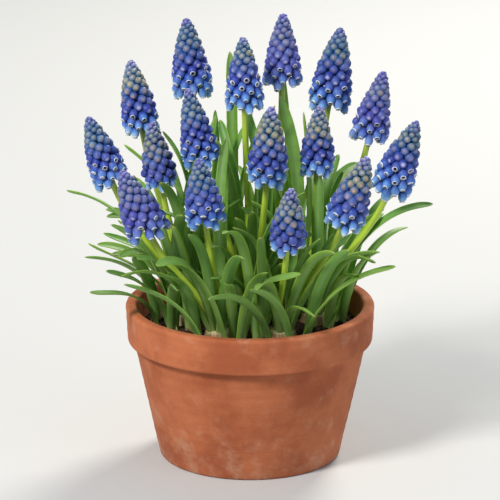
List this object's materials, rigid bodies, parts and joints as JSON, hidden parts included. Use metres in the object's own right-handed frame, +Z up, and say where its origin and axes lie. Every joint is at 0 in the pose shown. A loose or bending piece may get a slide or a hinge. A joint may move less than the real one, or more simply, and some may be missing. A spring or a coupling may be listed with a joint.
{
  "type": "potted armenian grape hyacinth",
  "caption": "Clump of grape hyacinths in flower, with strap leaves and cones of small blue bells on fleshy stalks, growing from bulbs in a round clay bulb pan.",
  "frame": {"origin": "centre of the pot's foot, on the surface that it stands on, at the middle of the whole plant's bounding box", "axes": "+Z up along the pot's axis; +Y from the front of the clump to its back; +X to the right when seen from the front"},
  "size_m": [0.2062, 0.1704, 0.246],
  "materials": {
    "terracotta": "matte",
    "compost": "matte",
    "bulb_tunic": "matte",
    "stalk": "satin",
    "leaf": "satin",
    "floret": "satin"
  },
  "bodies": {
    "root": {"pot": "terracotta", "soil": "compost", "bulb_middle": "bulb_tunic", "bulb_right": "bulb_tunic", "bulb_back_right": "bulb_tunic", "bulb_back_left": "bulb_tunic", "bulb_left": "bulb_tunic", "bulb_front_left": "bulb_tunic", "bulb_front_right": "bulb_tunic", "stalk_01": "stalk", "stalk_02": "stalk", "stalk_03": "stalk", "stalk_04": "stalk", "stalk_05": "stalk", "stalk_06": "stalk", "stalk_07": "stalk", "stalk_08": "stalk", "stalk_09": "stalk", "stalk_10": "stalk", "stalk_11": "stalk", "stalk_12": "stalk", "stalk_13": "stalk", "stalk_14": "stalk", "stalk_15": "stalk", "stalk_16": "stalk", "raceme_01": "floret", "raceme_02": "floret", "raceme_03": "floret", "raceme_04": "floret", "raceme_05": "floret", "raceme_06": "floret", "raceme_07": "floret", "raceme_08": "floret", "raceme_09": "floret", "raceme_10": "floret", "raceme_11": "floret", "raceme_12": "floret", "raceme_13": "floret", "raceme_14": "floret", "raceme_15": "floret", "raceme_16": "floret", "leaf_01": "leaf", "leaf_02": "leaf", "leaf_03": "leaf", "leaf_04": "leaf", "leaf_05": "leaf", "leaf_06": "leaf", "leaf_07": "leaf", "leaf_08": "leaf", "leaf_09": "leaf", "leaf_10": "leaf", "leaf_11": "leaf", "leaf_12": "leaf", "leaf_13": "leaf", "leaf_14": "leaf", "leaf_15": "leaf", "leaf_16": "leaf", "leaf_17": "leaf", "leaf_18": "leaf", "leaf_19": "leaf"}
  },
  "joints": []
}
